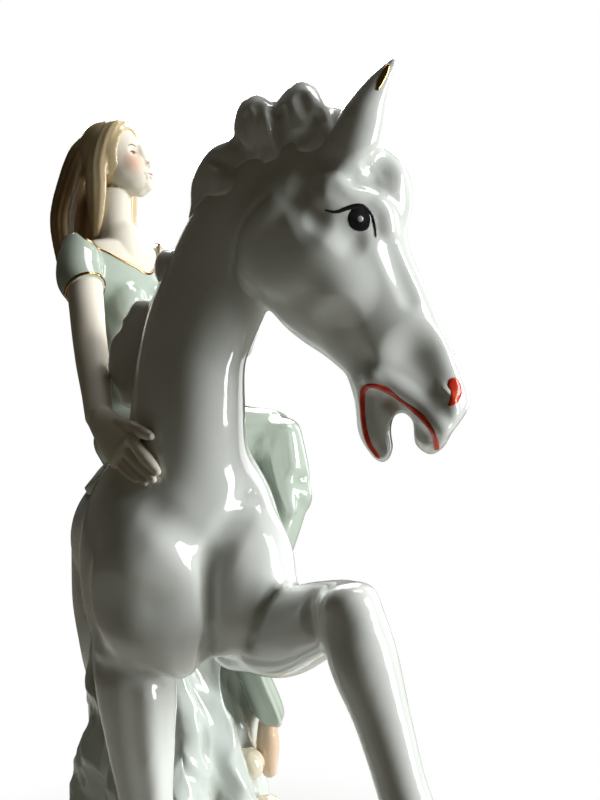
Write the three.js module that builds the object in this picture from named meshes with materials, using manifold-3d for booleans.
// A porcelain horse and rider: a prancing horse on a rock and plinth, carrying a lady who sits sideways.
// Every piece below comes from its own mould. The pieces are luted together with slip, so each one ends at
// its neighbour's skin with a thin joint between them.
// Millimetres, +Z up. The horse faces -Y and its left side is +X.
import * as THREE from "three";
import { mergeVertices } from "three/addons/utils/BufferGeometryUtils.js";
import Module from "manifold-3d";

const wasm = await Module();
wasm.setup();

// Joints
const JOINT_GAP = 0.3; // slip joint between two pieces

// Plinth
const PLINTH_LENGTH = 188;
const PLINTH_WIDTH = 122;
const PLINTH_HEIGHT = 16;
const PLINTH_FOOT_INSET = 2.5;
const PLINTH_SHOULDER = 6; // how far the rounded top edge runs in
const VENT_DIAMETER = 6; // firing vent in the underside
const VENT_DEPTH = 10;
const VENT_PLACE = 46; // behind the middle of the plinth

// Horse trunk
const CHEST_FRONT = -66; // place of the breast along Y
const TRUNK_LENGTH = 164; // breast to buttock
const BELLY_CLEARANCE = 112; // plinth top to belly
const BARREL_DEPTH = 62;
const BARREL_WIDTH = 58;
const BARREL_UNDER = -1.7; // underside against the belly, here and for the sections below
const CHEST_WIDTH = 42;
const CHEST_DEPTH = 48;
const CHEST_UNDER = 4;
const SHOULDER_WIDTH = 54;
const SHOULDER_DEPTH = 60;
const SHOULDER_UNDER = 0;
const LOIN_WIDTH = 54;
const LOIN_DEPTH = 56;
const LOIN_UNDER = -5.5;
const CROUP_WIDTH = 60;
const CROUP_DEPTH = 58;
const CROUP_UNDER = -15;
const BUTTOCK_WIDTH = 45;
const BUTTOCK_DEPTH = 47;
const BUTTOCK_UNDER = -10.9;
const CHEST_SWAY = -2; // the breast leans over the standing foreleg
const REAR_DOME = 14; // rounding of the buttock
const FRONT_DOME = 7; // and of the breast
const BLADE_WIDTH = 30; // shoulder muscle over the standing foreleg
const BLADE_PLACE = -18;
const RAISED_BLADE_WIDTH = 25; // and over the raised one
const RAISED_BLADE_PLACE = 12.6;
const BLADE_LENGTH = 44;
const BLADE_HEIGHT = 62;
const PECTORAL_WIDTH = 33;
const PECTORAL_HEIGHT = 46;
const PECTORAL_DEPTH = 24;
const PECTORAL_SPREAD = 28; // between the two muscles' middles

// Horse neck
const POLL_SIDE = 30.8; // the neck leans to the horse's left
const POLL_SETBACK = -2.3; // poll behind the breast
const POLL_RISE = 74.3; // poll above the back
const NECK_ROOT_WIDTH = 46;
const NECK_MIDDLE_WIDTH = 26;
const NECK_TOP_WIDTH = 21;
const NECK_ROOT_DEPTH = 60;
const NECK_MIDDLE_DEPTH = 37.5;
const NECK_TOP_DEPTH = 27;

// Horse head
const HEAD_TURN = 62.5; // degrees to the horse's left
const HEAD_PITCH = 67.7; // degrees below the horizon
const HEAD_LENGTH = 80; // poll to upper lip
const FOREHEAD_WIDTH = 30;
const MUZZLE_WIDTH = 18;
const CHEEK_DIAMETER = 32;
const CHEEK_THICKNESS = 13;
const BROW_LENGTH = 16;
const BROW_HEIGHT = 6;
const NOSTRIL_LENGTH = 13;
const NOSTRIL_HEIGHT = 9;
const NOSTRIL_WIDTH = 6;
const JAW_WIDTH = 14;
const EAR_LENGTH = 26;
const EAR_WIDTH = 13;
const EAR_SPREAD = 17; // between the two ears' roots
const EAR_BEND = 2.2; // how far the tips bend forward and up
const FORELOCK_WIDTH = 20;

// Mane and tail
const MANE_LOCK_WIDTH = 13;
const MANE_FALL = 27; // how far a lock runs down the far side of the neck
const TAIL_WIDTH = 25;
const TAIL_REACH = 12; // how far the tail stands out behind the buttock

// Horse legs
const FORE_SPREAD = 31; // between the two forelegs
const HIND_SPREAD = 33;
const ELBOW_WIDTH = 23;
const FOREARM_SWAY = -3.2; // the standing forearm leans out
const FOREARM_WIDTH = 16;
const KNEE_WIDTH = 14.5;
const CANNON_WIDTH = 11;
const FETLOCK_WIDTH = 12.5;
const HOOF_WIDTH = 17;
const THIGH_WIDTH = 25;
const HOCK_WIDTH = 12.5;
const RAISED_FOREARM_LENGTH = 60;
const RAISED_CANNON_LENGTH = 50;

// Rider
const SEAT_SIDE = -4;
const SEAT_PLACE = 26; // along Y
const SEAT_SINK = 8; // seat below the withers
const RIDER_TURN = 35; // degrees to the horse's left
const TORSO_HEIGHT = 67; // seat to shoulder line
const HIP_WIDTH = 34;
const WAIST_WIDTH = 22;
const BUST_WIDTH = 31;
const BUST_DIAMETER = 13.5; // each side of the bust
const SHOULDER_SPAN = 36;
const RIDER_NECK_DIAMETER = 12;
const RIDER_NECK_LENGTH = 20;
const RIDER_HEAD_HEIGHT = 28.5;
const RIDER_HEAD_WIDTH = 18.6;
const RIDER_HEAD_DEPTH = 21.4;
const RIDER_HEAD_SEAT = 3.5; // how far the head sinks on to the neck
const NOSE_WIDTH = 3.2;
const NOSE_DEPTH = 4.6;
const NOSE_HEIGHT = 7;
const RIDER_LOOK = 57.5; // degrees to the horse's left
const RIDER_CHIN_UP = 14; // degrees
const HAIR_THICKNESS = 1.6;
const HAIRLINE_HEIGHT = 9; // hairline above the middle of the head
const HAIRLINE_SETBACK = 3; // and ahead of it at the temples
const HAIR_FALL_WIDTH = 23;
const HAIR_FALL_LENGTH = 52;
const SLEEVE_DIAMETER = 15.4;
const UPPER_ARM_DIAMETER = 11.8;
const FOREARM_DIAMETER = 10.2;
const WRIST_DIAMETER = 8.2;
const PALM_WIDTH = 11;
const PALM_THICKNESS = 6;
const FINGER_DIAMETER = 3.3;
const FINGER_LENGTH = 15;

// Skirt
const LAP_HEIGHT = 25;
const KNEE_REACH = 40; // the knees stand out from the seat to the horse's left
const FALL_DEPTH = 42; // width of the fall along the horse
const FALL_THICKNESS = 17;
const HEM_CLEARANCE = 80; // plinth top to hem
const HEM_DOME = 6; // the hem is closed below by a soft round
const FOLD_COUNT = 7;
const FOLD_SHARE = 0.05; // fold height as a share of the fall's radius
const TRAIN_THICKNESS = 2.6;
const TRAIN_FOLDS = 9;
const TRAIN_FOLD_SHARE = 0.03;
const TRAIN_WIDTH = 47;
const TRAIN_LENGTH = 70;
const TRAIN_HEIGHT = 62;
const SHOE_LENGTH = 16;
const SHOE_WIDTH = 7.4;

// Rock and blossoms
const ROCK_FOOT_WIDTH = 72;
const ROCK_FOOT_LENGTH = 104;
const ROCK_TOP_WIDTH = 44;
const ROCK_TOP_LENGTH = 60;
const ROCK_PLACE = 8; // along Y
const CRAG_COUNT = 9;
const CRAG_SHARE = 0.09; // crag height as a share of the rock's radius
const BLOSSOM_DIAMETER = 11;

// Facets
const BODY_SIDES = 18;
const LIMB_SIDES = 12;
const SMALL_SIDES = 6;
const CAP_RINGS = 2;

// Glazes: colour, roughness and metalness of each finish
const GLAZES = {
  white: { color: 0xe9ece8, roughness: 0.12, metalness: 0 },
  mint: { color: 0xb9cdc0, roughness: 0.14, metalness: 0 },
  skin: { color: 0xe4dacd, roughness: 0.55, metalness: 0 },
  hair: { color: 0x8a6a3e, roughness: 0.2, metalness: 0 },
  stone: { color: 0xd3ddd6, roughness: 0.2, metalness: 0 },
  blossom: { color: 0xe0d8c4, roughness: 0.2, metalness: 0 },
  shoe: { color: 0xd9b999, roughness: 0.2, metalness: 0 },
};

const vec = (x, y, z) => new THREE.Vector3(x, y, z);
const plus = (point, x, y, z) => point.clone().add(vec(x, y, z));
const radians = THREE.MathUtils.degToRad;
const between = (a, b, share) => a.clone().lerp(b, share);

// The direction to the left of something that is turned by `degrees` to the horse's left.
const leftOf = (degrees) => vec(Math.cos(radians(degrees)), Math.sin(radians(degrees)), 0);

// Levels and joints of the skeleton
const ground = PLINTH_HEIGHT;
const belly = ground + BELLY_CLEARANCE;
const back = belly + BARREL_DEPTH;
const trunkMiddle = (belly + back) / 2;
const alongTrunk = (share) => CHEST_FRONT + share * TRUNK_LENGTH;
const neckRoot = vec(0, alongTrunk(0.22), trunkMiddle + 4);
const poll = vec(POLL_SIDE, CHEST_FRONT + POLL_SETBACK, back + POLL_RISE);
const seat = vec(SEAT_SIDE, SEAT_PLACE, back - SEAT_SINK);
const riderLeft = leftOf(RIDER_TURN);
const riderBack = vec(-riderLeft.y, riderLeft.x, 0);

// One ring of a loft: `wide` is the full width to the sides, `deep` the half depth on the side that the
// ring's up direction points to, and `under` the half depth on the other side.
function station(at, wide, deep, under = deep, side = vec(1, 0, 0)) {
  return { at, wide, deep, under, side };
}

// Closed skin lofted through stations. The ends close with domes of the given heights, or flat where that
// is 0. `grow` swells the skin evenly, and `ripple(angle, share)` scales each point's radius to make folds or
// crags.
function loft(stations, { sides = LIMB_SIDES, steps = 1, capStart = 0, capEnd = 0, grow = 0, ripple } = {}) {
  const spine = new THREE.CatmullRomCurve3(stations.map((s) => s.at));
  const sizes = new THREE.CatmullRomCurve3(stations.map((s) => vec(s.wide / 2, s.deep, s.under)));
  const spans = stations.length - 1;
  const rings = [];

  const addRing = (share, shift, scale) => {
    const tangent = spine.getTangent(share);
    const centre = spine.getPoint(share).addScaledVector(tangent, shift);
    const size = sizes.getPoint(share).addScalar(grow).multiplyScalar(scale);
    const first = Math.min(Math.floor(share * spans), spans - 1);
    const side = between(stations[first].side, stations[first + 1].side, share * spans - first);
    side.addScaledVector(tangent, -side.dot(tangent)).normalize();
    const up = tangent.clone().cross(side);
    const ring = [];
    for (let i = 0; i < sides; i += 1) {
      const angle = (2 * Math.PI * i) / sides;
      const swell = ripple ? ripple(angle, share) : 1;
      const rise = Math.sin(angle) > 0 ? size.y : size.z;
      ring.push(
        centre
          .clone()
          .addScaledVector(side, size.x * swell * Math.cos(angle))
          .addScaledVector(up, rise * swell * Math.sin(angle)),
      );
    }
    rings.push(ring);
  };

  const domeAngle = (k) => (k * Math.PI) / (2 * (CAP_RINGS + 1));
  if (capStart > 0) {
    for (let k = CAP_RINGS; k > 0; k -= 1) {
      addRing(0, -(capStart + grow) * Math.sin(domeAngle(k)), Math.cos(domeAngle(k)));
    }
  }
  const bodyRings = spans * steps;
  for (let k = 0; k <= bodyRings; k += 1) {
    const atStart = k === 0 && capStart === 0;
    const atEnd = k === bodyRings && capEnd === 0;
    addRing(k / bodyRings, atStart ? -grow : atEnd ? grow : 0, 1);
  }
  if (capEnd > 0) {
    for (let k = 1; k <= CAP_RINGS; k += 1) {
      addRing(1, (capEnd + grow) * Math.sin(domeAngle(k)), Math.cos(domeAngle(k)));
    }
  }

  const startPoint = spine.getPoint(0).addScaledVector(spine.getTangent(0), -(capStart + grow));
  const endPoint = spine.getPoint(1).addScaledVector(spine.getTangent(1), capEnd + grow);
  return skin(rings, startPoint, endPoint);
}

// Triangles over a row of rings, closed at both ends by a fan to a point.
function skin(rings, startPoint, endPoint) {
  const sides = rings[0].length;
  const points = [startPoint, ...rings.flat(), endPoint];
  const last = points.length - 1;
  const at = (ring, i) => 1 + ring * sides + (i % sides);
  const index = [];
  for (let i = 0; i < sides; i += 1) {
    index.push(0, at(0, i + 1), at(0, i));
    index.push(last, at(rings.length - 1, i), at(rings.length - 1, i + 1));
    for (let r = 0; r + 1 < rings.length; r += 1) {
      index.push(at(r, i), at(r, i + 1), at(r + 1, i + 1));
      index.push(at(r, i), at(r + 1, i + 1), at(r + 1, i));
    }
  }
  const geometry = new THREE.BufferGeometry().setFromPoints(points);
  geometry.setIndex(index);
  return geometry;
}

// Ellipsoid with full sizes along X, Y and Z.
function ellipsoid(at, width, length, height, { grow = 0, columns = LIMB_SIDES } = {}) {
  const geometry = new THREE.SphereGeometry(0.5, columns, Math.round(columns * 0.7));
  geometry.scale(width + 2 * grow, length + 2 * grow, height + 2 * grow);
  geometry.translate(at.x, at.y, at.z);
  return geometry;
}

// Closed geometry as a solid that can be joined and cut.
function solid(geometry) {
  const bare = geometry.clone();
  bare.deleteAttribute("normal");
  bare.deleteAttribute("uv");
  const merged = mergeVertices(bare, 1e-4);
  return new wasm.Manifold(
    new wasm.Mesh({
      numProp: 3,
      vertProperties: merged.attributes.position.array,
      triVerts: new Uint32Array(merged.index.array),
    }),
  );
}

const join = (...geometries) => geometries.map(solid).reduce((whole, next) => whole.add(next));

// Frames that hold the pieces
const figurine = new THREE.Group();
const horse = new THREE.Group();
const horseHead = new THREE.Group();
const rider = new THREE.Group();
const riderHead = new THREE.Group();
figurine.add(horse, rider);
horse.add(horseHead);
rider.add(riderHead);
horseHead.position.copy(poll);
horseHead.rotation.set(radians(HEAD_PITCH), 0, radians(HEAD_TURN), "ZXY");
const chestOfRider = plus(seat, -8, 7.5, TORSO_HEIGHT);
const headRise = RIDER_NECK_LENGTH + RIDER_HEAD_HEIGHT / 2 - RIDER_HEAD_SEAT;
const headOfRider = plus(chestOfRider, -0.2, 2.4, headRise);
riderHead.position.copy(headOfRider);
riderHead.rotation.set(radians(-RIDER_CHIN_UP), 0, radians(RIDER_LOOK), "ZXY");
figurine.updateMatrixWorld(true);

// Puts a geometry that was made in a frame's own axes into the figurine's axes.
const inFrame = (frame, geometry) => geometry.applyMatrix4(frame.matrixWorld);

// The pieces in the order in which they are luted: each is cut back from all that came before it.
const pieces = [];
function cast(name, glaze, frame, shape) {
  pieces.push({ name, glaze, frame, shape });
}

// Plinth
cast("plinth", "white", figurine, (grow) => {
  const inset = PLINTH_FOOT_INSET;
  const ring = (z, shrink) => station(vec(0, 0, z), PLINTH_WIDTH - 2 * shrink, PLINTH_LENGTH / 2 - shrink);
  const body = loft(
    [
      ring(0, inset),
      ring(PLINTH_HEIGHT * 0.3, 0),
      ring(PLINTH_HEIGHT * 0.7, 0.6),
      ring(PLINTH_HEIGHT, PLINTH_SHOULDER),
    ],
    { sides: 2 * BODY_SIDES, grow },
  );
  const vent = new THREE.CylinderGeometry(VENT_DIAMETER / 2, VENT_DIAMETER / 2, 2 * VENT_DEPTH, LIMB_SIDES);
  vent.rotateX(Math.PI / 2);
  vent.translate(0, VENT_PLACE, 0);
  return solid(body).subtract(solid(vent));
});

// Horse trunk: barrel, croup, shoulder muscles and the two breast muscles
function trunkStations() {
  const slice = (share, sway, under, wide, deep) => {
    return station(vec(sway, alongTrunk(share), belly + under + deep / 2), wide, deep / 2);
  };
  return [
    slice(0.88, 0, BUTTOCK_UNDER, BUTTOCK_WIDTH, BUTTOCK_DEPTH),
    slice(0.73, 0, CROUP_UNDER, CROUP_WIDTH, CROUP_DEPTH),
    slice(0.53, 0, LOIN_UNDER, LOIN_WIDTH, LOIN_DEPTH),
    slice(0.33, 0, BARREL_UNDER, BARREL_WIDTH, BARREL_DEPTH),
    slice(0.14, CHEST_SWAY, SHOULDER_UNDER, SHOULDER_WIDTH, SHOULDER_DEPTH),
    slice(0.045, CHEST_SWAY * 0.75, CHEST_UNDER, CHEST_WIDTH, CHEST_DEPTH),
  ];
}
cast("horse_trunk", "white", horse, (grow) => {
  const muscle = (side) =>
    ellipsoid(
      vec((side * PECTORAL_SPREAD + CHEST_SWAY) / 2, alongTrunk(0.055), trunkMiddle - 8),
      PECTORAL_WIDTH,
      PECTORAL_DEPTH,
      PECTORAL_HEIGHT,
      { grow },
    );
  const blade = (out, wide) => {
    return ellipsoid(vec(out, alongTrunk(0.15), trunkMiddle - 5), wide, BLADE_LENGTH, BLADE_HEIGHT, { grow });
  };
  return join(
    loft(trunkStations(), { sides: BODY_SIDES, steps: 2, capStart: REAR_DOME, capEnd: FRONT_DOME, grow }),
    muscle(-1),
    muscle(1),
    blade(BLADE_PLACE, BLADE_WIDTH),
    blade(RAISED_BLADE_PLACE, RAISED_BLADE_WIDTH),
  );
});

// Horse head, in the head's own frame: nose along -Y, forehead up, origin at the poll.
// Each section gives its distance from the poll as a share of the head's length, its top and bottom edges and
// its width.
function headSection(share, top, bottom, wide) {
  const middle = (top + bottom) / 2;
  const half = (top - bottom) / 2;
  return station(vec(0, -share * HEAD_LENGTH, middle), wide, half);
}
cast("horse_skull", "white", horseHead, (grow) => {
  const skull = loft(
    [
      headSection(-0.06, -2, -17, 17),
      headSection(0.05, 7, -23, 25),
      headSection(0.16, 12, -30, FOREHEAD_WIDTH),
      headSection(0.26, 11.8, -32, FOREHEAD_WIDTH),
      headSection(0.39, 11, -29.5, FOREHEAD_WIDTH - 4),
      headSection(0.54, 10.6, -22.4, MUZZLE_WIDTH + 2),
      headSection(0.68, 10.6, -16.5, MUZZLE_WIDTH - 0.6),
      headSection(0.775, 10.8, -12, MUZZLE_WIDTH - 0.6),
      headSection(0.875, 9.4, -8, MUZZLE_WIDTH + 0.6),
      headSection(0.985, 4.6, -8.5, MUZZLE_WIDTH - 2),
    ],
    { sides: 14, capStart: 4, capEnd: 4, grow },
  );
  const cheek = (side) => {
    const at = vec(side * 8.5, -0.22 * HEAD_LENGTH, -16);
    return ellipsoid(at, CHEEK_THICKNESS, CHEEK_DIAMETER, CHEEK_DIAMETER, { grow, columns: 10 });
  };
  const brow = (side) => {
    const at = vec(side * (FOREHEAD_WIDTH / 2 - 4), -0.2 * HEAD_LENGTH, 5.6);
    return ellipsoid(at, BROW_HEIGHT, BROW_LENGTH, BROW_HEIGHT, { grow, columns: 8 });
  };
  const nostril = (side) => {
    const at = vec(side * (MUZZLE_WIDTH / 2 - 2), -0.88 * HEAD_LENGTH, 3.2);
    return ellipsoid(at, NOSTRIL_WIDTH, NOSTRIL_LENGTH, NOSTRIL_HEIGHT, { grow, columns: 8 });
  };
  const shapes = [skull, cheek(-1), cheek(1), brow(-1), brow(1), nostril(-1), nostril(1)];
  return join(...shapes.map((shape) => inFrame(horseHead, shape)));
});

cast("horse_lower_jaw", "white", horseHead, (grow) => {
  const jaw = loft(
    [
      headSection(0.52, -10, -20, JAW_WIDTH - 3),
      headSection(0.68, -11.6, -18.6, JAW_WIDTH),
      headSection(0.8, -12.8, -20.2, JAW_WIDTH),
      headSection(0.92, -13.8, -22, JAW_WIDTH - 1),
    ],
    { capStart: 2, capEnd: 6.4, grow },
  );
  return join(inFrame(horseHead, jaw));
});

for (const [name, side, layBack, length] of [
  ["right_ear", -1, 0, EAR_LENGTH],
  ["left_ear", 1, 4, EAR_LENGTH * 0.86],
]) {
  cast(name, "white", horseHead, (grow) => {
    const root = vec((side * EAR_SPREAD) / 2, 0.4 * layBack - 4.5, 4.5);
    const tip = plus(root, side * 1.5, length * 0.73 + layBack, length * 0.66 - layBack);
    const bent = (share, bend) => plus(between(root, tip, share), 0, -bend, bend);
    const ear = loft(
      [
        station(between(root, tip, -0.1), EAR_WIDTH * 0.8, EAR_WIDTH * 0.5),
        station(bent(0.3, 0.1 * EAR_BEND), EAR_WIDTH * 0.8, EAR_WIDTH * 0.43),
        station(bent(0.65, 0.35 * EAR_BEND), EAR_WIDTH * 0.5, EAR_WIDTH * 0.27),
        station(bent(0.95, EAR_BEND), EAR_WIDTH * 0.14, EAR_WIDTH * 0.08),
      ],
      { sides: 10, capStart: 2, capEnd: 1, grow },
    );
    return join(inFrame(horseHead, ear));
  });
}

// Horse neck: an arch that leans to the left and turns with the head.
// Each ring is placed by its share of the way from root to poll and its sideways and fore-and-aft bow.
function neckStations() {
  const ring = (share, bow, reach, turn, wide, deep) => {
    const at = between(neckRoot, poll, share);
    return station(plus(at, bow, reach, 0), wide, deep / 2, deep / 2, leftOf(turn));
  };
  const mix = THREE.MathUtils.lerp;
  const lowWidth = mix(NECK_ROOT_WIDTH, NECK_MIDDLE_WIDTH, 0.66);
  const lowDepth = mix(NECK_ROOT_DEPTH, NECK_MIDDLE_DEPTH, 0.66);
  const upperWidth = (share) => mix(NECK_MIDDLE_WIDTH, NECK_TOP_WIDTH, share);
  const upperDepth = (share) => mix(NECK_MIDDLE_DEPTH, NECK_TOP_DEPTH, share);
  return [
    ring(0, 0, 2, 0, NECK_ROOT_WIDTH, NECK_ROOT_DEPTH),
    ring(0.25, -10.8, -4, 8, lowWidth, lowDepth),
    ring(0.5, -17, 3.5, 20, NECK_MIDDLE_WIDTH, NECK_MIDDLE_DEPTH),
    ring(0.68, -16, 6, 36, upperWidth(0.4), upperDepth(0.4)),
    ring(0.83, -13.6, 6.2, 50, upperWidth(0.7), upperDepth(0.7)),
    ring(0.93, -7.5, 3.4, 60, NECK_TOP_WIDTH, NECK_TOP_DEPTH),
  ];
}
cast("horse_neck", "white", horse, (grow) =>
  join(loft(neckStations(), { sides: 16, steps: 2, capStart: 4, capEnd: 6, grow })),
);

// Centre, left and crest directions and sizes of the neck at a share of its run.
function neckAt(share) {
  const stations = neckStations();
  const spans = stations.length - 1;
  const spine = new THREE.CatmullRomCurve3(stations.map((s) => s.at));
  const first = Math.min(Math.floor(share * spans), spans - 1);
  const part = share * spans - first;
  const run = spine.getTangent(share);
  const left = between(stations[first].side, stations[first + 1].side, part);
  left.addScaledVector(run, -left.dot(run)).normalize();
  const mix = (key) => THREE.MathUtils.lerp(stations[first][key], stations[first + 1][key], part);
  const centre = spine.getPoint(share);
  const crest = run.clone().cross(left);
  return { centre, run, left, crest, wide: mix("wide"), deep: mix("deep") };
}

// Forelock between the ears
cast("forelock", "white", horseHead, (grow) => {
  const tuft = loft(
    [
      headSection(-0.02, 5, -4, FORELOCK_WIDTH * 0.75),
      headSection(0.06, 12.5, -2, FORELOCK_WIDTH * 0.95),
      headSection(0.15, 16.8, 0, FORELOCK_WIDTH),
      headSection(0.23, 16, 2, FORELOCK_WIDTH * 0.75),
      headSection(0.29, 13, 4, FORELOCK_WIDTH * 0.4),
    ],
    { sides: 10, capStart: 3, capEnd: 3, grow },
  );
  return join(inFrame(horseHead, tuft));
});

// Mane: fat locks that stand up from the crest, roll over it and lie down the far side of the neck.
// Each row gives the place on the neck, the rise above the crest, the lean along it and the shift to the far
// side.
const maneRows = [
  [1, -8, 15.5, 0.1],
  [1, 0.5, 14, 0.1],
  [0.99, 4, 1.5, 0.1],
  [0.88, 3.8, 3.5, 0.12],
  [0.77, -1.5, 2.5, 0.2],
  [0.65, 0.5, 0, 0.2],
  [0.52, 1, 0, 0.15],
  [0.39, 4, 0, 0.12],
];
for (const [i, [share, lift, lean, shift]] of maneRows.entries()) {
  cast(`mane_lock_${i + 1}`, "white", horse, (grow) => {
    const { centre, run, left, crest, wide, deep } = neckAt(share);
    const half = wide / 2;
    const thick = MANE_LOCK_WIDTH;
    const top = deep + lift;
    const point = (up, across, along) =>
      centre.clone().addScaledVector(crest, up).addScaledVector(left, across).addScaledVector(run, along);
    const ring = (at, width, thickness, swing) => {
      const across = run.clone().applyAxisAngle(left, radians(swing));
      return station(at, width * thick, thickness * thick, thickness * thick, across);
    };
    const lock = loft(
      [
        ring(point(top - 13, half * shift - 1, lean * 0.8), 0.8, 0.34, 0),
        ring(point(top - 4, half * shift, lean * 0.95), 1, 0.46, 0),
        ring(point(top, half * (shift + 0.5), lean), 1, 0.46, 0),
        ring(point(Math.min(deep * 0.7, top - 6), half + 4, lean * 0.7 - 3), 1, 0.4, 30),
        ring(point(Math.min(deep * 0.1, top - 15), half + 3, lean * 0.3 - MANE_FALL * 0.4), 0.8, 0.3, 50),
        ring(point(Math.min(-deep * 0.1, top - 21), half, -MANE_FALL * 0.75), 0.35, 0.16, 60),
      ],
      { sides: 8, capStart: 2, capEnd: 2, grow },
    );
    return join(lock);
  });
}

// Standing leg as rows of: height above the plinth, place along Y, width, depth and sway to the side
function standingLeg(x, rows, grow) {
  const stations = rows.map(([height, y, wide, deep, sway = 0]) => {
    return station(vec(x + sway, y, ground + height), wide, deep / 2);
  });
  return loft(stations, { capStart: 3, grow });
}
const hoofRows = (y) => [
  [19, y, FETLOCK_WIDTH, FETLOCK_WIDTH * 1.1],
  [11.5, y - 2.5, FETLOCK_WIDTH * 0.9, FETLOCK_WIDTH * 0.95],
  [6.5, y - 5, HOOF_WIDTH * 0.84, HOOF_WIDTH * 0.86],
  [-2, y - 6.5, HOOF_WIDTH, HOOF_WIDTH * 1.12],
];

const foreY = alongTrunk(0.095);
cast("right_foreleg", "white", horse, (grow) => {
  const elbow = BELLY_CLEARANCE;
  const rows = [
    [elbow + 22, foreY + 7, ELBOW_WIDTH * 0.94, ELBOW_WIDTH * 1.2, FOREARM_SWAY],
    [elbow, foreY + 2.5, ELBOW_WIDTH, ELBOW_WIDTH * 1.1, FOREARM_SWAY * 0.94],
    [elbow * 0.79, foreY, FOREARM_WIDTH * 1.15, FOREARM_WIDTH * 1.15, FOREARM_SWAY * 0.6],
    [elbow * 0.64, foreY - 0.5, FOREARM_WIDTH * 0.92, FOREARM_WIDTH * 0.95, FOREARM_SWAY * 0.22],
    [elbow * 0.535, foreY - 1, KNEE_WIDTH, KNEE_WIDTH * 1.05],
    [elbow * 0.44, foreY, CANNON_WIDTH * 1.1, CANNON_WIDTH * 1.15],
    [elbow * 0.28, foreY, CANNON_WIDTH, CANNON_WIDTH * 1.1],
    ...hoofRows(foreY - 0.5),
  ];
  return join(standingLeg(-FORE_SPREAD / 2, rows, grow));
});

// Raised foreleg: the forearm reaches forward and out, and the cannon hangs from the knee
cast("left_foreleg", "white", horse, (grow) => {
  const elbow = vec(FORE_SPREAD / 2 - 2, foreY + 10, belly + 6);
  const knee = elbow.clone().addScaledVector(vec(0.22, -0.935, 0.28), RAISED_FOREARM_LENGTH);
  const fetlock = knee.clone().addScaledVector(vec(0.2, -0.26, -0.945), RAISED_CANNON_LENGTH);
  const forearm = loft(
    [
      station(plus(elbow, 0, 0, -1.5), ELBOW_WIDTH, ELBOW_WIDTH * 0.54),
      station(plus(between(elbow, knee, 0.36), 0.6, 0, -4.4), ELBOW_WIDTH, ELBOW_WIDTH * 0.52),
      station(plus(between(elbow, knee, 0.72), 0, 0, -1.4), FOREARM_WIDTH * 1.12, FOREARM_WIDTH * 0.62),
      station(between(elbow, knee, 0.97), KNEE_WIDTH * 1.08, KNEE_WIDTH * 0.57),
    ],
    { capStart: 3, capEnd: 4, grow },
  );
  const lower = loft(
    [
      station(plus(knee, -0.4, 0.6, 3.2), KNEE_WIDTH * 0.87, KNEE_WIDTH * 0.52),
      station(between(knee, fetlock, 0.2), FOREARM_WIDTH * 0.98, FOREARM_WIDTH * 0.51),
      station(between(knee, fetlock, 0.5), CANNON_WIDTH * 1.24, CANNON_WIDTH * 0.64),
      station(between(knee, fetlock, 0.8), CANNON_WIDTH * 1.1, CANNON_WIDTH * 0.6),
      station(fetlock, FETLOCK_WIDTH, FETLOCK_WIDTH * 0.54),
      station(plus(fetlock, 0.6, 3.5, -8), FETLOCK_WIDTH * 0.88, FETLOCK_WIDTH * 0.48),
      station(plus(fetlock, 1, 5.5, -13), HOOF_WIDTH * 0.84, HOOF_WIDTH * 0.42),
      station(plus(fetlock, 1.5, 8, -21), HOOF_WIDTH, HOOF_WIDTH * 0.54),
    ],
    { capStart: 4, grow },
  );
  return join(forearm, lower);
});

for (const [name, side, step] of [
  ["right_hind_leg", -1, 0],
  ["left_hind_leg", 1, -12],
]) {
  cast(name, "white", horse, (grow) => {
    const y = alongTrunk(0.77) + step;
    const hip = BELLY_CLEARANCE;
    const rows = [
      [hip + 16, y + 6, THIGH_WIDTH, THIGH_WIDTH * 1.7],
      [hip - 8, y - 2, THIGH_WIDTH * 1.04, THIGH_WIDTH * 1.56],
      [hip * 0.75, y - 3, THIGH_WIDTH * 0.84, THIGH_WIDTH * 1.15],
      [hip * 0.6, y + 7, HOCK_WIDTH * 1.14, HOCK_WIDTH * 1.5],
      [hip * 0.47, y + 17, HOCK_WIDTH, HOCK_WIDTH * 1.45],
      [hip * 0.37, y + 16, CANNON_WIDTH * 1.1, CANNON_WIDTH * 1.35],
      [hip * 0.26, y + 13, CANNON_WIDTH, CANNON_WIDTH * 1.15],
      ...hoofRows(y + 11),
    ];
    return join(standingLeg((side * HIND_SPREAD) / 2, rows, grow));
  });
}

// Tail: springs from the dock and falls to the plinth behind the hind legs
cast("tail", "white", horse, (grow) => {
  const dock = vec(0, alongTrunk(0.96), belly + BUTTOCK_UNDER + 0.89 * BUTTOCK_DEPTH);
  const out = alongTrunk(1) + TAIL_REACH;
  const footY = PLINTH_LENGTH / 2 - 14;
  const strand = (angle, share) => 1 + 0.1 * Math.cos(6 * angle + 5 * share);
  const fall = loft(
    [
      station(plus(dock, 0, -10, -2), TAIL_WIDTH * 0.5, TAIL_WIDTH * 0.25),
      station(plus(dock, 0, 6, 2), TAIL_WIDTH * 0.62, TAIL_WIDTH * 0.3),
      station(vec(1, out - 4, dock.z - 8), TAIL_WIDTH * 0.85, TAIL_WIDTH * 0.36),
      station(vec(2, out, ground + (dock.z - ground) * 0.66), TAIL_WIDTH, TAIL_WIDTH * 0.42),
      station(vec(1, out - 4, ground + (dock.z - ground) * 0.38), TAIL_WIDTH, TAIL_WIDTH * 0.44),
      station(vec(-1, footY + 12, ground + (dock.z - ground) * 0.16), TAIL_WIDTH * 0.9, TAIL_WIDTH * 0.4),
      station(vec(-2, footY + 2, ground - 1), TAIL_WIDTH * 0.6, TAIL_WIDTH * 0.3),
    ],
    { sides: 18, steps: 2, capStart: 2, grow, ripple: strand },
  );
  return join(fall);
});

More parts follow.
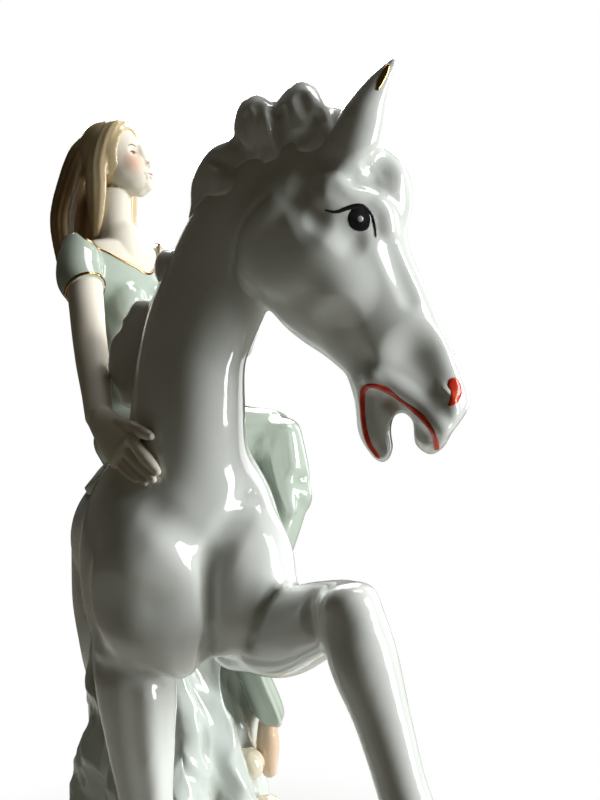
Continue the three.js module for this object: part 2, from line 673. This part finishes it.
// Rider's bodice: hips, waist, bust and shoulders of the dress
const torsoAt = (share, lean, setback) => plus(seat, lean, setback, share * TORSO_HEIGHT);
cast("rider_bodice", "mint", rider, (grow) => {
  const ring = (at, wide, rear, front) => station(at, wide, rear, front, riderLeft);
  const torso = loft(
    [
      ring(torsoAt(0.02, 0, 0), HIP_WIDTH, 12, 12),
      ring(torsoAt(0.39, -3, 2), WAIST_WIDTH, 9, 9),
      ring(torsoAt(0.57, -5, 3), BUST_WIDTH - 5, 9.5, 9.5),
      ring(torsoAt(0.72, -6.5, 4.5), BUST_WIDTH, 10.5, 10.5),
      ring(torsoAt(0.88, -7.5, 6), SHOULDER_SPAN, 9.5, 9),
      ring(torsoAt(1, -8, 7.2), SHOULDER_SPAN * 0.9, 7.5, 7),
    ],
    { sides: 16, steps: 2, capStart: 3, capEnd: 4, grow },
  );
  const bust = (side) => {
    const at = torsoAt(0.68, -6.2, 4);
    at.addScaledVector(riderLeft, side * 6.6).addScaledVector(riderBack, -7.5);
    return ellipsoid(at, BUST_DIAMETER, BUST_DIAMETER, BUST_DIAMETER * 1.05, { grow, columns: 10 });
  };
  return join(torso, bust(-1), bust(1));
});

cast("rider_neck", "skin", rider, (grow) => {
  const wide = RIDER_NECK_DIAMETER;
  const ring = (at, size) => station(at, size, size / 2, size / 2, riderLeft);
  return join(
    loft(
      [
        ring(plus(chestOfRider, 0, 0, -6), wide * 1.5),
        ring(plus(chestOfRider, -1, 0.4, 4), wide * 1.3),
        ring(plus(chestOfRider, -2.2, 1, 9), wide),
        ring(plus(chestOfRider, -2.2, 1.8, RIDER_NECK_LENGTH), wide * 0.98),
      ],
      { sides: 12, capStart: 1, capEnd: 2, grow },
    ),
  );
});

// Rider's head, in its own frame: face along -Y
cast("rider_head", "skin", riderHead, (grow) => {
  const ring = (share, y, wide, rear, front) =>
    station(
      vec(0, y, share * RIDER_HEAD_HEIGHT),
      wide * RIDER_HEAD_WIDTH,
      rear * RIDER_HEAD_DEPTH,
      front * RIDER_HEAD_DEPTH,
    );
  const egg = loft(
    [
      ring(-0.45, -6, 0.3, 0.13, 0.15),
      ring(-0.37, -5, 0.52, 0.22, 0.26),
      ring(-0.22, -3.4, 0.76, 0.36, 0.34),
      ring(-0.03, -1.5, 0.93, 0.44, 0.41),
      ring(0.16, 0, 1, 0.5, 0.44),
      ring(0.33, 0.8, 0.94, 0.47, 0.42),
      ring(0.44, 1, 0.68, 0.36, 0.32),
    ],
    { sides: 14, capStart: 1, capEnd: 2.4, grow },
  );
  const noseAt = vec(0, -0.46 * RIDER_HEAD_DEPTH, -0.04 * RIDER_HEAD_HEIGHT);
  const nose = ellipsoid(noseAt, NOSE_WIDTH, NOSE_DEPTH, NOSE_HEIGHT, { grow, columns: 6 });
  return join(inFrame(riderHead, egg), inFrame(riderHead, nose));
});

// Hair: a cap over the crown that falls down her back, and a lock before her left shoulder
cast("rider_hair", "hair", rider, (grow) => {
  const cap = ellipsoid(
    vec(0, 1.4, 0.14 * RIDER_HEAD_HEIGHT),
    RIDER_HEAD_WIDTH + 2 * HAIR_THICKNESS,
    RIDER_HEAD_DEPTH + 2 * HAIR_THICKNESS,
    RIDER_HEAD_HEIGHT * 0.8 + 2 * HAIR_THICKNESS,
    { grow, columns: 14 },
  );
  const face = new THREE.BoxGeometry(2 * RIDER_HEAD_WIDTH, RIDER_HEAD_DEPTH, 2 * RIDER_HEAD_HEIGHT);
  face.translate(0, -RIDER_HEAD_DEPTH / 2 - HAIRLINE_SETBACK, HAIRLINE_HEIGHT - RIDER_HEAD_HEIGHT);
  const crown = plus(headOfRider, -5, 8, 4);
  const drop = HAIR_FALL_LENGTH;
  const ring = (at, wide, deep) => station(at, wide, deep, deep, riderLeft);
  const fall = loft(
    [
      ring(plus(crown, 1, -4, 3), HAIR_FALL_WIDTH * 0.6, 5.5),
      ring(plus(crown, -4, 0, -drop * 0.18), HAIR_FALL_WIDTH, 7),
      ring(plus(crown, -8, 1, -drop * 0.45), HAIR_FALL_WIDTH, 6.4),
      ring(plus(crown, -8, 0, -drop * 0.76), HAIR_FALL_WIDTH * 0.8, 5),
      ring(plus(crown, -7.4, -1, -drop), HAIR_FALL_WIDTH * 0.45, 3),
    ],
    { sides: 15, capStart: 3, capEnd: 2, grow, ripple: (angle) => 1 + 0.06 * Math.cos(5 * angle) },
  );
  return join(inFrame(riderHead, cap)).subtract(join(inFrame(riderHead, face))).add(join(fall));
});

cast("left_hair_lock", "hair", rider, (grow) => {
  const root = plus(headOfRider, 0, 1.5, 0).addScaledVector(riderLeft, RIDER_HEAD_WIDTH * 0.36);
  const ring = (down, out, wide) => {
    return station(plus(root, out, -0.5, -down), wide, wide * 0.4, wide * 0.4, riderLeft);
  };
  const rings = [ring(2, 0, 5.4), ring(11, 1, 6), ring(20, 1, 5.4), ring(27, 2, 2.8)];
  return join(loft(rings, { sides: 8, capStart: 2, capEnd: 2, grow }));
});

// Arms: each runs from the shoulder through elbow and wrist to the knuckles
const shoulderOf = (side) => torsoAt(0.95, -8, 6.5).addScaledVector(riderLeft, (side * SHOULDER_SPAN) / 2);
const rightShoulder = shoulderOf(-1);
const leftShoulder = shoulderOf(1);
const arms = [
  {
    name: "right",
    shoulder: rightShoulder,
    elbow: plus(rightShoulder, 0.2, -25.5, -27),
    wrist: plus(rightShoulder, 0.9, -51.5, -51.9),
    knuckles: plus(rightShoulder, 6.2, -64.7, -59),
    palmSide: vec(-0.18, 0.465, -0.87),
    fingerRun: vec(0.3, -0.82, -0.5),
  },
  {
    name: "left",
    shoulder: leftShoulder,
    elbow: plus(leftShoulder, 13, -11, -26),
    wrist: plus(leftShoulder, 8, -44, -38),
    knuckles: plus(leftShoulder, 5, -57, -41),
    palmSide: vec(0.3, 0.3, 0.9),
    fingerRun: vec(-0.25, -0.92, -0.3),
  },
];

for (const { name, shoulder, elbow } of arms) {
  cast(`${name}_sleeve`, "mint", rider, (grow) => {
    const ring = (share, size, rise) => {
      return station(plus(between(shoulder, elbow, share), -1, 0.4, rise), size, size / 2);
    };
    return join(
      loft(
        [
          ring(-0.1, SLEEVE_DIAMETER * 0.7, 1),
          ring(0.14, SLEEVE_DIAMETER * 0.98, 0.5),
          ring(0.32, SLEEVE_DIAMETER, 0),
          ring(0.46, SLEEVE_DIAMETER * 0.92, 0),
        ],
        { capStart: 3, grow },
      ),
    );
  });
}

for (const { name, shoulder, elbow, wrist } of arms) {
  cast(`${name}_arm`, "skin", rider, (grow) => {
    const ring = (at, size) => station(at, size, size / 2);
    return join(
      loft(
        [
          ring(between(shoulder, elbow, 0.35), UPPER_ARM_DIAMETER),
          ring(between(shoulder, elbow, 0.72), UPPER_ARM_DIAMETER * 0.94),
          ring(plus(elbow, 0, 0.5, 0), FOREARM_DIAMETER * 1.04),
          ring(between(elbow, wrist, 0.36), FOREARM_DIAMETER),
          ring(between(elbow, wrist, 0.75), WRIST_DIAMETER * 1.06),
          ring(wrist, WRIST_DIAMETER),
        ],
        { sides: 10, capStart: 2, capEnd: 2, grow },
      ),
    );
  });
}

// Hands: a flat palm with four fingers side by side and a thumb
for (const { name, wrist, knuckles, palmSide, fingerRun } of arms) {
  cast(`${name}_hand`, "skin", rider, (grow) => {
    const across = palmSide.clone().normalize();
    const ahead = fingerRun.clone().normalize();
    const ring = (at, wide, deep) => station(at, wide, deep, deep, across);
    const palm = loft(
      [
        ring(between(wrist, knuckles, -0.1), WRIST_DIAMETER * 0.95, WRIST_DIAMETER * 0.4),
        ring(between(wrist, knuckles, 0.5), PALM_WIDTH, PALM_THICKNESS / 2),
        ring(knuckles, PALM_WIDTH, PALM_THICKNESS * 0.42),
      ],
      { sides: 10, capStart: 1, capEnd: 2, grow },
    );
    const digit = (offset, spread, length, size) => {
      const root = knuckles.clone().addScaledVector(across, offset).addScaledVector(ahead, -3);
      const tip = root.clone().addScaledVector(ahead, length + 3).addScaledVector(across, spread);
      const joint = (share, scale) => ring(between(root, tip, share), size * scale, (size * scale) / 2);
      const joints = [joint(0, 1), joint(0.55, 1), joint(0.95, 0.7)];
      return loft(joints, { sides: SMALL_SIDES, capEnd: size * 0.3, grow });
    };
    const spacing = (PALM_WIDTH - FINGER_DIAMETER) / 3;
    const fingers = [0, 1, 2, 3].map((i) =>
      digit((i - 1.5) * spacing, 0, FINGER_LENGTH * [0.86, 1, 0.96, 0.78][i], FINGER_DIAMETER),
    );
    const thumb = digit(-PALM_WIDTH * 0.42, -6, FINGER_LENGTH * 0.3, FINGER_DIAMETER * 1.1);
    return join(palm, ...fingers, thumb);
  });
}

// Skirt: the lap over her thighs, the fall down the horse's left side and the train over its croup
const kneeOfRider = plus(seat, KNEE_REACH - 2, -KNEE_REACH * 0.8, 1);
cast("skirt_lap", "mint", rider, (grow) => {
  const upright = vec(0, 0, 1);
  const ring = (at, tall, deep) => station(at, tall, deep, deep, upright);
  return join(
    loft(
      [
        ring(plus(seat, -7, 5, 2), LAP_HEIGHT * 1.2, 19),
        ring(between(seat, kneeOfRider, 0.3), LAP_HEIGHT * 1.12, 20),
        ring(between(seat, kneeOfRider, 0.68), LAP_HEIGHT * 0.98, 18),
        ring(between(seat, kneeOfRider, 0.97), LAP_HEIGHT * 0.84, 14),
      ],
      { sides: 14, capStart: 6, capEnd: 5, grow },
    ),
  );
});

cast("skirt_fall", "mint", rider, (grow) => {
  const hem = ground + HEM_CLEARANCE;
  const drop = kneeOfRider.z - hem;
  const ring = (share, x, y, thick, deep) =>
    station(vec(x, y, kneeOfRider.z - share * drop), thick, deep / 2, deep / 2);
  const x = kneeOfRider.x;
  const y = kneeOfRider.y;
  const folds = (angle, share) => {
    return 1 + FOLD_SHARE * (0.3 + 0.7 * share) * Math.cos(FOLD_COUNT * angle + 2 * share);
  };
  return join(
    loft(
      [
        ring(-0.05, x, y - 1, FALL_THICKNESS * 0.8, FALL_DEPTH * 0.7),
        ring(0.16, x + 0.5, y - 2, FALL_THICKNESS, FALL_DEPTH * 0.86),
        ring(0.4, x - 6, y - 2, FALL_THICKNESS * 0.9, FALL_DEPTH),
        ring(0.74, x - 13, y - 1.5, FALL_THICKNESS * 0.64, FALL_DEPTH),
        ring(1, x - 5.7, y - 2, FALL_THICKNESS * 0.6, FALL_DEPTH * 0.9),
      ],
      { sides: 32, capStart: 4, capEnd: HEM_DOME, grow, ripple: folds },
    ),
  );
});

cast("skirt_train", "mint", rider, (grow) => {
  const folds = (angle, share) => 1 + TRAIN_FOLD_SHARE * Math.cos(TRAIN_FOLDS * angle + 3 * share);
  const cloth = loft(trunkStations(), {
    sides: 28,
    capStart: REAR_DOME,
    capEnd: FRONT_DOME,
    grow: grow + TRAIN_THICKNESS,
    ripple: folds,
  });
  const middle = plus(seat, -0.5, 20, -5);
  const spread = ellipsoid(middle, TRAIN_WIDTH, TRAIN_LENGTH, TRAIN_HEIGHT, { grow, columns: 14 });
  return solid(cloth).intersect(solid(spread));
});

for (const [name, forward, down] of [
  ["right_shoe", -8, 0],
  ["left_shoe", 5, -3],
]) {
  cast(name, "shoe", rider, (grow) => {
    const ankle = vec(kneeOfRider.x - 5.6, kneeOfRider.y + forward, ground + HEM_CLEARANCE - 5 + down);
    const ring = (share, y, wide, deep) => station(plus(ankle, 0, y, -share * SHOE_LENGTH), wide, deep);
    const rings = [
      ring(0, 0, SHOE_WIDTH * 0.8, 4),
      ring(0.4, -0.6, SHOE_WIDTH, 4.6),
      ring(0.9, -2.4, SHOE_WIDTH * 0.7, 3),
    ];
    return join(loft(rings, { sides: 10, capStart: 2, capEnd: 3, grow }));
  });
}

// Rock that carries the belly
cast("rock_support", "stone", figurine, (grow) => {
  const height = belly + 10 - ground;
  const mix = THREE.MathUtils.lerp;
  const ring = (share, spread) =>
    station(
      vec(0, ROCK_PLACE, ground - 2 + share * height),
      mix(ROCK_TOP_WIDTH, ROCK_FOOT_WIDTH, spread),
      mix(ROCK_TOP_LENGTH, ROCK_FOOT_LENGTH, spread) / 2,
    );
  const crags = (angle, share) =>
    1 + CRAG_SHARE * (Math.cos(CRAG_COUNT * angle + 4 * share) + 0.6 * Math.cos(5 * angle - 7 * share));
  return join(
    loft([ring(0, 1), ring(0.22, 0.72), ring(0.45, 0.5), ring(0.7, 0.3), ring(1, 0)], {
      sides: 27,
      grow,
      ripple: crags,
    }),
  );
});

// Blossoms pressed on to the rock
for (const [name, x, y, z, scale] of [
  ["front_blossom", 20.4, -27, 64.4, 1],
  ["low_blossom", 28, -24, 46, 1.05],
]) {
  cast(name, "blossom", figurine, (grow) => {
    const size = BLOSSOM_DIAMETER * scale;
    return join(ellipsoid(vec(x, ROCK_PLACE + y, ground + z), size, size, size * 0.92, { grow }));
  });
}

// Luting: every piece is cut back from the grown skins of the pieces before it
const touches = (a, b) => [0, 1, 2].every((k) => a.min[k] <= b.max[k] && b.min[k] <= a.max[k]);

function meshOf(body, { name, glaze, frame }) {
  const { vertProperties, triVerts } = body.getMesh();
  const geometry = new THREE.BufferGeometry();
  geometry.setAttribute("position", new THREE.BufferAttribute(vertProperties, 3));
  geometry.setIndex(new THREE.BufferAttribute(triVerts, 1));
  geometry.applyMatrix4(frame.matrixWorld.clone().invert());
  geometry.computeVertexNormals();
  const mesh = new THREE.Mesh(geometry, new THREE.MeshStandardMaterial(GLAZES[glaze]));
  mesh.name = name;
  return mesh;
}

const luted = [];
for (const piece of pieces) {
  let body = piece.shape(0);
  for (const earlier of luted) {
    if (touches(earlier.boundingBox(), body.boundingBox())) body = body.subtract(earlier);
  }
  const lumps = body.decompose().sort((a, b) => b.volume() - a.volume());
  piece.frame.add(meshOf(lumps[0], piece));
  luted.push(piece.shape(JOINT_GAP));
}

export default figurine;
